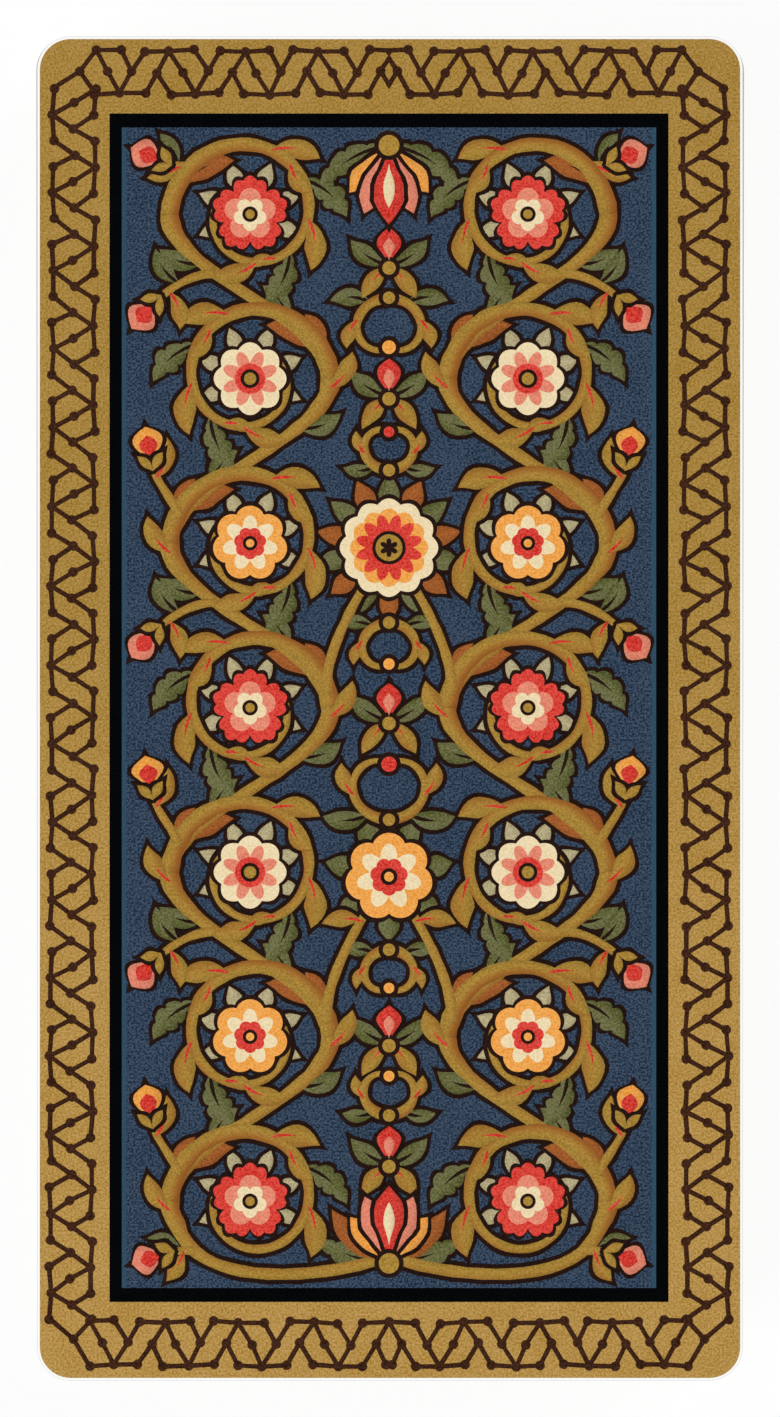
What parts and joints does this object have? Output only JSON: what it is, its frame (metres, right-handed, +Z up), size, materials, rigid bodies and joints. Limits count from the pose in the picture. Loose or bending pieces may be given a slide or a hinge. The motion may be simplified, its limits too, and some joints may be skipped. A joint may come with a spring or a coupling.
{
  "type": "tarot card deck",
  "caption": "Squared-up deck of tall round-cornered tarot cards lying backs up; it fans about one corner and deals its top card.",
  "frame": {"origin": "middle of the deck's lowest face, on the table", "axes": "+X across a card, +Y along it to the top of the back, +Z up through the deck"},
  "size_m": [0.0634, 0.1202, 0.0304],
  "materials": {
    "printed_card": "satin varnish over a gold, black and blue printed back",
    "card_stock": "matt die-cut edge of coated white card"
  },
  "bodies": {
    "coins_ace_two": {"coins_ace_two": "card_stock"},
    "coins_three_four": {"coins_three_four": "card_stock"},
    "coins_five_six": {"coins_five_six": "card_stock"},
    "coins_seven_eight": {"coins_seven_eight": "card_stock"},
    "coins_nine_ten": {"coins_nine_ten": "card_stock"},
    "coins_page": {"coins_page": "card_stock"},
    "coins_knight": {"coins_knight": "card_stock"},
    "coins_queen": {"coins_queen": "card_stock"},
    "coins_king": {"coins_king": "card_stock"},
    "swords_ace_two": {"swords_ace_two": "card_stock"},
    "swords_three_four": {"swords_three_four": "card_stock"},
    "swords_five_six": {"swords_five_six": "card_stock"},
    "swords_seven_eight": {"swords_seven_eight": "card_stock"},
    "swords_nine_ten": {"swords_nine_ten": "card_stock"},
    "swords_page": {"swords_page": "card_stock"},
    "swords_knight": {"swords_knight": "card_stock"},
    "swords_queen": {"swords_queen": "card_stock"},
    "swords_king": {"swords_king": "card_stock"},
    "cups_ace_two": {"cups_ace_two": "card_stock"},
    "cups_three_four": {"cups_three_four": "card_stock"},
    "cups_five_six": {"cups_five_six": "card_stock"},
    "cups_seven_eight": {"cups_seven_eight": "card_stock"},
    "cups_nine_ten": {"cups_nine_ten": "card_stock"},
    "cups_page": {"cups_page": "card_stock"},
    "cups_knight": {"cups_knight": "card_stock"},
    "cups_queen": {"cups_queen": "card_stock"},
    "cups_king": {"cups_king": "card_stock"},
    "wands_ace_two": {"wands_ace_two": "card_stock"},
    "wands_three_four": {"wands_three_four": "card_stock"},
    "wands_five_six": {"wands_five_six": "card_stock"},
    "wands_seven_eight": {"wands_seven_eight": "card_stock"},
    "wands_nine_ten": {"wands_nine_ten": "card_stock"},
    "wands_page": {"wands_page": "card_stock"},
    "wands_knight": {"wands_knight": "card_stock"},
    "wands_queen": {"wands_queen": "card_stock"},
    "wands_king": {"wands_king": "card_stock"},
    "trump_21": {"trump_21": "printed_card"},
    "trump_20": {"trump_20": "printed_card"},
    "trump_19": {"trump_19": "printed_card"},
    "trump_18": {"trump_18": "printed_card"},
    "trump_17": {"trump_17": "printed_card"},
    "trump_16": {"trump_16": "printed_card"},
    "trump_15": {"trump_15": "printed_card"},
    "trump_14": {"trump_14": "printed_card"},
    "trump_13": {"trump_13": "printed_card"},
    "trump_12": {"trump_12": "printed_card"},
    "trump_11": {"trump_11": "printed_card"},
    "trump_10": {"trump_10": "printed_card"},
    "trump_09": {"trump_09": "printed_card"},
    "trump_08": {"trump_08": "printed_card"},
    "trump_07": {"trump_07": "printed_card"},
    "trump_06": {"trump_06": "printed_card"},
    "trump_05": {"trump_05": "printed_card"},
    "trump_04": {"trump_04": "printed_card"},
    "trump_03": {"trump_03": "printed_card"},
    "trump_02": {"trump_02": "printed_card"},
    "trump_01": {"trump_01": "printed_card"},
    "trump_00": {"trump_00": "printed_card"}
  },
  "joints": [
    {"name": "fan", "type": "hinge", "parent": "coins_ace_two", "child": "trump_01", "pos_m": [-0.0285, -0.057, 0], "axis": [0, 0, -1], "range_deg": [-140, 140]},
    {"name": "fan_coins_three_four", "type": "hinge", "parent": "coins_ace_two", "child": "coins_three_four", "pos_m": [-0.0285, -0.057, 0], "axis": [0, 0, -1], "range_deg": [-2.5, 2.5]},
    {"name": "fan_coins_five_six", "type": "hinge", "parent": "coins_ace_two", "child": "coins_five_six", "pos_m": [-0.0285, -0.057, 0], "axis": [0, 0, -1], "range_deg": [-5, 5]},
    {"name": "fan_coins_seven_eight", "type": "hinge", "parent": "coins_ace_two", "child": "coins_seven_eight", "pos_m": [-0.0285, -0.057, 0], "axis": [0, 0, -1], "range_deg": [-7.5, 7.5]},
    {"name": "fan_coins_nine_ten", "type": "hinge", "parent": "coins_ace_two", "child": "coins_nine_ten", "pos_m": [-0.0285, -0.057, 0], "axis": [0, 0, -1], "range_deg": [-10, 10]},
    {"name": "fan_coins_page", "type": "hinge", "parent": "coins_ace_two", "child": "coins_page", "pos_m": [-0.0285, -0.057, 0], "axis": [0, 0, -1], "range_deg": [-12.5, 12.5]},
    {"name": "fan_coins_knight", "type": "hinge", "parent": "coins_ace_two", "child": "coins_knight", "pos_m": [-0.0285, -0.057, 0], "axis": [0, 0, -1], "range_deg": [-15, 15]},
    {"name": "fan_coins_queen", "type": "hinge", "parent": "coins_ace_two", "child": "coins_queen", "pos_m": [-0.0285, -0.057, 0], "axis": [0, 0, -1], "range_deg": [-17.5, 17.5]},
    {"name": "fan_coins_king", "type": "hinge", "parent": "coins_ace_two", "child": "coins_king", "pos_m": [-0.0285, -0.057, 0], "axis": [0, 0, -1], "range_deg": [-20, 20]},
    {"name": "fan_swords_ace_two", "type": "hinge", "parent": "coins_ace_two", "child": "swords_ace_two", "pos_m": [-0.0285, -0.057, 0], "axis": [0, 0, -1], "range_deg": [-22.5, 22.5]},
    {"name": "fan_swords_three_four", "type": "hinge", "parent": "coins_ace_two", "child": "swords_three_four", "pos_m": [-0.0285, -0.057, 0], "axis": [0, 0, -1], "range_deg": [-25, 25]},
    {"name": "fan_swords_five_six", "type": "hinge", "parent": "coins_ace_two", "child": "swords_five_six", "pos_m": [-0.0285, -0.057, 0], "axis": [0, 0, -1], "range_deg": [-27.5, 27.5]},
    {"name": "fan_swords_seven_eight", "type": "hinge", "parent": "coins_ace_two", "child": "swords_seven_eight", "pos_m": [-0.0285, -0.057, 0], "axis": [0, 0, -1], "range_deg": [-30, 30]},
    {"name": "fan_swords_nine_ten", "type": "hinge", "parent": "coins_ace_two", "child": "swords_nine_ten", "pos_m": [-0.0285, -0.057, 0], "axis": [0, 0, -1], "range_deg": [-32.5, 32.5]},
    {"name": "fan_swords_page", "type": "hinge", "parent": "coins_ace_two", "child": "swords_page", "pos_m": [-0.0285, -0.057, 0], "axis": [0, 0, -1], "range_deg": [-35, 35]},
    {"name": "fan_swords_knight", "type": "hinge", "parent": "coins_ace_two", "child": "swords_knight", "pos_m": [-0.0285, -0.057, 0], "axis": [0, 0, -1], "range_deg": [-37.5, 37.5]},
    {"name": "fan_swords_queen", "type": "hinge", "parent": "coins_ace_two", "child": "swords_queen", "pos_m": [-0.0285, -0.057, 0], "axis": [0, 0, -1], "range_deg": [-40, 40]},
    {"name": "fan_swords_king", "type": "hinge", "parent": "coins_ace_two", "child": "swords_king", "pos_m": [-0.0285, -0.057, 0], "axis": [0, 0, -1], "range_deg": [-42.5, 42.5]},
    {"name": "fan_cups_ace_two", "type": "hinge", "parent": "coins_ace_two", "child": "cups_ace_two", "pos_m": [-0.0285, -0.057, 0], "axis": [0, 0, -1], "range_deg": [-45, 45]},
    {"name": "fan_cups_three_four", "type": "hinge", "parent": "coins_ace_two", "child": "cups_three_four", "pos_m": [-0.0285, -0.057, 0], "axis": [0, 0, -1], "range_deg": [-47.5, 47.5]},
    {"name": "fan_cups_five_six", "type": "hinge", "parent": "coins_ace_two", "child": "cups_five_six", "pos_m": [-0.0285, -0.057, 0], "axis": [0, 0, -1], "range_deg": [-50, 50]},
    {"name": "fan_cups_seven_eight", "type": "hinge", "parent": "coins_ace_two", "child": "cups_seven_eight", "pos_m": [-0.0285, -0.057, 0], "axis": [0, 0, -1], "range_deg": [-52.5, 52.5]},
    {"name": "fan_cups_nine_ten", "type": "hinge", "parent": "coins_ace_two", "child": "cups_nine_ten", "pos_m": [-0.0285, -0.057, 0], "axis": [0, 0, -1], "range_deg": [-55, 55]},
    {"name": "fan_cups_page", "type": "hinge", "parent": "coins_ace_two", "child": "cups_page", "pos_m": [-0.0285, -0.057, 0], "axis": [0, 0, -1], "range_deg": [-57.5, 57.5]},
    {"name": "fan_cups_knight", "type": "hinge", "parent": "coins_ace_two", "child": "cups_knight", "pos_m": [-0.0285, -0.057, 0], "axis": [0, 0, -1], "range_deg": [-60, 60]},
    {"name": "fan_cups_queen", "type": "hinge", "parent": "coins_ace_two", "child": "cups_queen", "pos_m": [-0.0285, -0.057, 0], "axis": [0, 0, -1], "range_deg": [-62.5, 62.5]},
    {"name": "fan_cups_king", "type": "hinge", "parent": "coins_ace_two", "child": "cups_king", "pos_m": [-0.0285, -0.057, 0], "axis": [0, 0, -1], "range_deg": [-65, 65]},
    {"name": "fan_wands_ace_two", "type": "hinge", "parent": "coins_ace_two", "child": "wands_ace_two", "pos_m": [-0.0285, -0.057, 0], "axis": [0, 0, -1], "range_deg": [-67.5, 67.5]},
    {"name": "fan_wands_three_four", "type": "hinge", "parent": "coins_ace_two", "child": "wands_three_four", "pos_m": [-0.0285, -0.057, 0], "axis": [0, 0, -1], "range_deg": [-70, 70]},
    {"name": "fan_wands_five_six", "type": "hinge", "parent": "coins_ace_two", "child": "wands_five_six", "pos_m": [-0.0285, -0.057, 0], "axis": [0, 0, -1], "range_deg": [-72.5, 72.5]},
    {"name": "fan_wands_seven_eight", "type": "hinge", "parent": "coins_ace_two", "child": "wands_seven_eight", "pos_m": [-0.0285, -0.057, 0], "axis": [0, 0, -1], "range_deg": [-75, 75]},
    {"name": "fan_wands_nine_ten", "type": "hinge", "parent": "coins_ace_two", "child": "wands_nine_ten", "pos_m": [-0.0285, -0.057, 0], "axis": [0, 0, -1], "range_deg": [-77.5, 77.5]},
    {"name": "fan_wands_page", "type": "hinge", "parent": "coins_ace_two", "child": "wands_page", "pos_m": [-0.0285, -0.057, 0], "axis": [0, 0, -1], "range_deg": [-80, 80]},
    {"name": "fan_wands_knight", "type": "hinge", "parent": "coins_ace_two", "child": "wands_knight", "pos_m": [-0.0285, -0.057, 0], "axis": [0, 0, -1], "range_deg": [-82.5, 82.5]},
    {"name": "fan_wands_queen", "type": "hinge", "parent": "coins_ace_two", "child": "wands_queen", "pos_m": [-0.0285, -0.057, 0], "axis": [0, 0, -1], "range_deg": [-85, 85]},
    {"name": "fan_wands_king", "type": "hinge", "parent": "coins_ace_two", "child": "wands_king", "pos_m": [-0.0285, -0.057, 0], "axis": [0, 0, -1], "range_deg": [-87.5, 87.5]},
    {"name": "fan_trump_21", "type": "hinge", "parent": "coins_ace_two", "child": "trump_21", "pos_m": [-0.0285, -0.057, 0], "axis": [0, 0, -1], "range_deg": [-90, 90]},
    {"name": "fan_trump_20", "type": "hinge", "parent": "coins_ace_two", "child": "trump_20", "pos_m": [-0.0285, -0.057, 0], "axis": [0, 0, -1], "range_deg": [-92.5, 92.5]},
    {"name": "fan_trump_19", "type": "hinge", "parent": "coins_ace_two", "child": "trump_19", "pos_m": [-0.0285, -0.057, 0], "axis": [0, 0, -1], "range_deg": [-95, 95]},
    {"name": "fan_trump_18", "type": "hinge", "parent": "coins_ace_two", "child": "trump_18", "pos_m": [-0.0285, -0.057, 0], "axis": [0, 0, -1], "range_deg": [-97.5, 97.5]},
    {"name": "fan_trump_17", "type": "hinge", "parent": "coins_ace_two", "child": "trump_17", "pos_m": [-0.0285, -0.057, 0], "axis": [0, 0, -1], "range_deg": [-100, 100]},
    {"name": "fan_trump_16", "type": "hinge", "parent": "coins_ace_two", "child": "trump_16", "pos_m": [-0.0285, -0.057, 0], "axis": [0, 0, -1], "range_deg": [-102.5, 102.5]},
    {"name": "fan_trump_15", "type": "hinge", "parent": "coins_ace_two", "child": "trump_15", "pos_m": [-0.0285, -0.057, 0], "axis": [0, 0, -1], "range_deg": [-105, 105]},
    {"name": "fan_trump_14", "type": "hinge", "parent": "coins_ace_two", "child": "trump_14", "pos_m": [-0.0285, -0.057, 0], "axis": [0, 0, -1], "range_deg": [-107.5, 107.5]},
    {"name": "fan_trump_13", "type": "hinge", "parent": "coins_ace_two", "child": "trump_13", "pos_m": [-0.0285, -0.057, 0], "axis": [0, 0, -1], "range_deg": [-110, 110]},
    {"name": "fan_trump_12", "type": "hinge", "parent": "coins_ace_two", "child": "trump_12", "pos_m": [-0.0285, -0.057, 0], "axis": [0, 0, -1], "range_deg": [-112.5, 112.5]},
    {"name": "fan_trump_11", "type": "hinge", "parent": "coins_ace_two", "child": "trump_11", "pos_m": [-0.0285, -0.057, 0], "axis": [0, 0, -1], "range_deg": [-115, 115]},
    {"name": "fan_trump_10", "type": "hinge", "parent": "coins_ace_two", "child": "trump_10", "pos_m": [-0.0285, -0.057, 0], "axis": [0, 0, -1], "range_deg": [-117.5, 117.5]},
    {"name": "fan_trump_09", "type": "hinge", "parent": "coins_ace_two", "child": "trump_09", "pos_m": [-0.0285, -0.057, 0], "axis": [0, 0, -1], "range_deg": [-120, 120]},
    {"name": "fan_trump_08", "type": "hinge", "parent": "coins_ace_two", "child": "trump_08", "pos_m": [-0.0285, -0.057, 0], "axis": [0, 0, -1], "range_deg": [-122.5, 122.5]},
    {"name": "fan_trump_07", "type": "hinge", "parent": "coins_ace_two", "child": "trump_07", "pos_m": [-0.0285, -0.057, 0], "axis": [0, 0, -1], "range_deg": [-125, 125]},
    {"name": "fan_trump_06", "type": "hinge", "parent": "coins_ace_two", "child": "trump_06", "pos_m": [-0.0285, -0.057, 0], "axis": [0, 0, -1], "range_deg": [-127.5, 127.5]},
    {"name": "fan_trump_05", "type": "hinge", "parent": "coins_ace_two", "child": "trump_05", "pos_m": [-0.0285, -0.057, 0], "axis": [0, 0, -1], "range_deg": [-130, 130]},
    {"name": "fan_trump_04", "type": "hinge", "parent": "coins_ace_two", "child": "trump_04", "pos_m": [-0.0285, -0.057, 0], "axis": [0, 0, -1], "range_deg": [-132.5, 132.5]},
    {"name": "fan_trump_03", "type": "hinge", "parent": "coins_ace_two", "child": "trump_03", "pos_m": [-0.0285, -0.057, 0], "axis": [0, 0, -1], "range_deg": [-135, 135]},
    {"name": "fan_trump_02", "type": "hinge", "parent": "coins_ace_two", "child": "trump_02", "pos_m": [-0.0285, -0.057, 0], "axis": [0, 0, -1], "range_deg": [-137.5, 137.5]},
    {"name": "deal", "type": "slide", "parent": "trump_01", "child": "trump_00", "axis": [0, 1, 0], "range_m": [-0.125, 0.125]}
  ],
  "couplings": [
    {"joint": "fan_coins_three_four", "follows": "fan", "ratio": 0.017857},
    {"joint": "fan_coins_five_six", "follows": "fan", "ratio": 0.035714},
    {"joint": "fan_coins_seven_eight", "follows": "fan", "ratio": 0.053571},
    {"joint": "fan_coins_nine_ten", "follows": "fan", "ratio": 0.071428},
    {"joint": "fan_coins_page", "follows": "fan", "ratio": 0.089285},
    {"joint": "fan_coins_knight", "follows": "fan", "ratio": 0.10714},
    {"joint": "fan_coins_queen", "follows": "fan", "ratio": 0.125},
    {"joint": "fan_coins_king", "follows": "fan", "ratio": 0.14286},
    {"joint": "fan_swords_ace_two", "follows": "fan", "ratio": 0.16071},
    {"joint": "fan_swords_three_four", "follows": "fan", "ratio": 0.17857},
    {"joint": "fan_swords_five_six", "follows": "fan", "ratio": 0.19643},
    {"joint": "fan_swords_seven_eight", "follows": "fan", "ratio": 0.21429},
    {"joint": "fan_swords_nine_ten", "follows": "fan", "ratio": 0.23214},
    {"joint": "fan_swords_page", "follows": "fan", "ratio": 0.25},
    {"joint": "fan_swords_knight", "follows": "fan", "ratio": 0.26786},
    {"joint": "fan_swords_queen", "follows": "fan", "ratio": 0.28571},
    {"joint": "fan_swords_king", "follows": "fan", "ratio": 0.30357},
    {"joint": "fan_cups_ace_two", "follows": "fan", "ratio": 0.32143},
    {"joint": "fan_cups_three_four", "follows": "fan", "ratio": 0.33929},
    {"joint": "fan_cups_five_six", "follows": "fan", "ratio": 0.35714},
    {"joint": "fan_cups_seven_eight", "follows": "fan", "ratio": 0.375},
    {"joint": "fan_cups_nine_ten", "follows": "fan", "ratio": 0.39286},
    {"joint": "fan_cups_page", "follows": "fan", "ratio": 0.41071},
    {"joint": "fan_cups_knight", "follows": "fan", "ratio": 0.42857},
    {"joint": "fan_cups_queen", "follows": "fan", "ratio": 0.44643},
    {"joint": "fan_cups_king", "follows": "fan", "ratio": 0.46429},
    {"joint": "fan_wands_ace_two", "follows": "fan", "ratio": 0.48214},
    {"joint": "fan_wands_three_four", "follows": "fan", "ratio": 0.5},
    {"joint": "fan_wands_five_six", "follows": "fan", "ratio": 0.51786},
    {"joint": "fan_wands_seven_eight", "follows": "fan", "ratio": 0.53571},
    {"joint": "fan_wands_nine_ten", "follows": "fan", "ratio": 0.55357},
    {"joint": "fan_wands_page", "follows": "fan", "ratio": 0.57143},
    {"joint": "fan_wands_knight", "follows": "fan", "ratio": 0.58928},
    {"joint": "fan_wands_queen", "follows": "fan", "ratio": 0.60714},
    {"joint": "fan_wands_king", "follows": "fan", "ratio": 0.625},
    {"joint": "fan_trump_21", "follows": "fan", "ratio": 0.64286},
    {"joint": "fan_trump_20", "follows": "fan", "ratio": 0.66071},
    {"joint": "fan_trump_19", "follows": "fan", "ratio": 0.67857},
    {"joint": "fan_trump_18", "follows": "fan", "ratio": 0.69643},
    {"joint": "fan_trump_17", "follows": "fan", "ratio": 0.71428},
    {"joint": "fan_trump_16", "follows": "fan", "ratio": 0.73214},
    {"joint": "fan_trump_15", "follows": "fan", "ratio": 0.75},
    {"joint": "fan_trump_14", "follows": "fan", "ratio": 0.76786},
    {"joint": "fan_trump_13", "follows": "fan", "ratio": 0.78571},
    {"joint": "fan_trump_12", "follows": "fan", "ratio": 0.80357},
    {"joint": "fan_trump_11", "follows": "fan", "ratio": 0.82143},
    {"joint": "fan_trump_10", "follows": "fan", "ratio": 0.83928},
    {"joint": "fan_trump_09", "follows": "fan", "ratio": 0.85714},
    {"joint": "fan_trump_08", "follows": "fan", "ratio": 0.875},
    {"joint": "fan_trump_07", "follows": "fan", "ratio": 0.89286},
    {"joint": "fan_trump_06", "follows": "fan", "ratio": 0.91071},
    {"joint": "fan_trump_05", "follows": "fan", "ratio": 0.92857},
    {"joint": "fan_trump_04", "follows": "fan", "ratio": 0.94643},
    {"joint": "fan_trump_03", "follows": "fan", "ratio": 0.96428},
    {"joint": "fan_trump_02", "follows": "fan", "ratio": 0.98214}
  ]
}
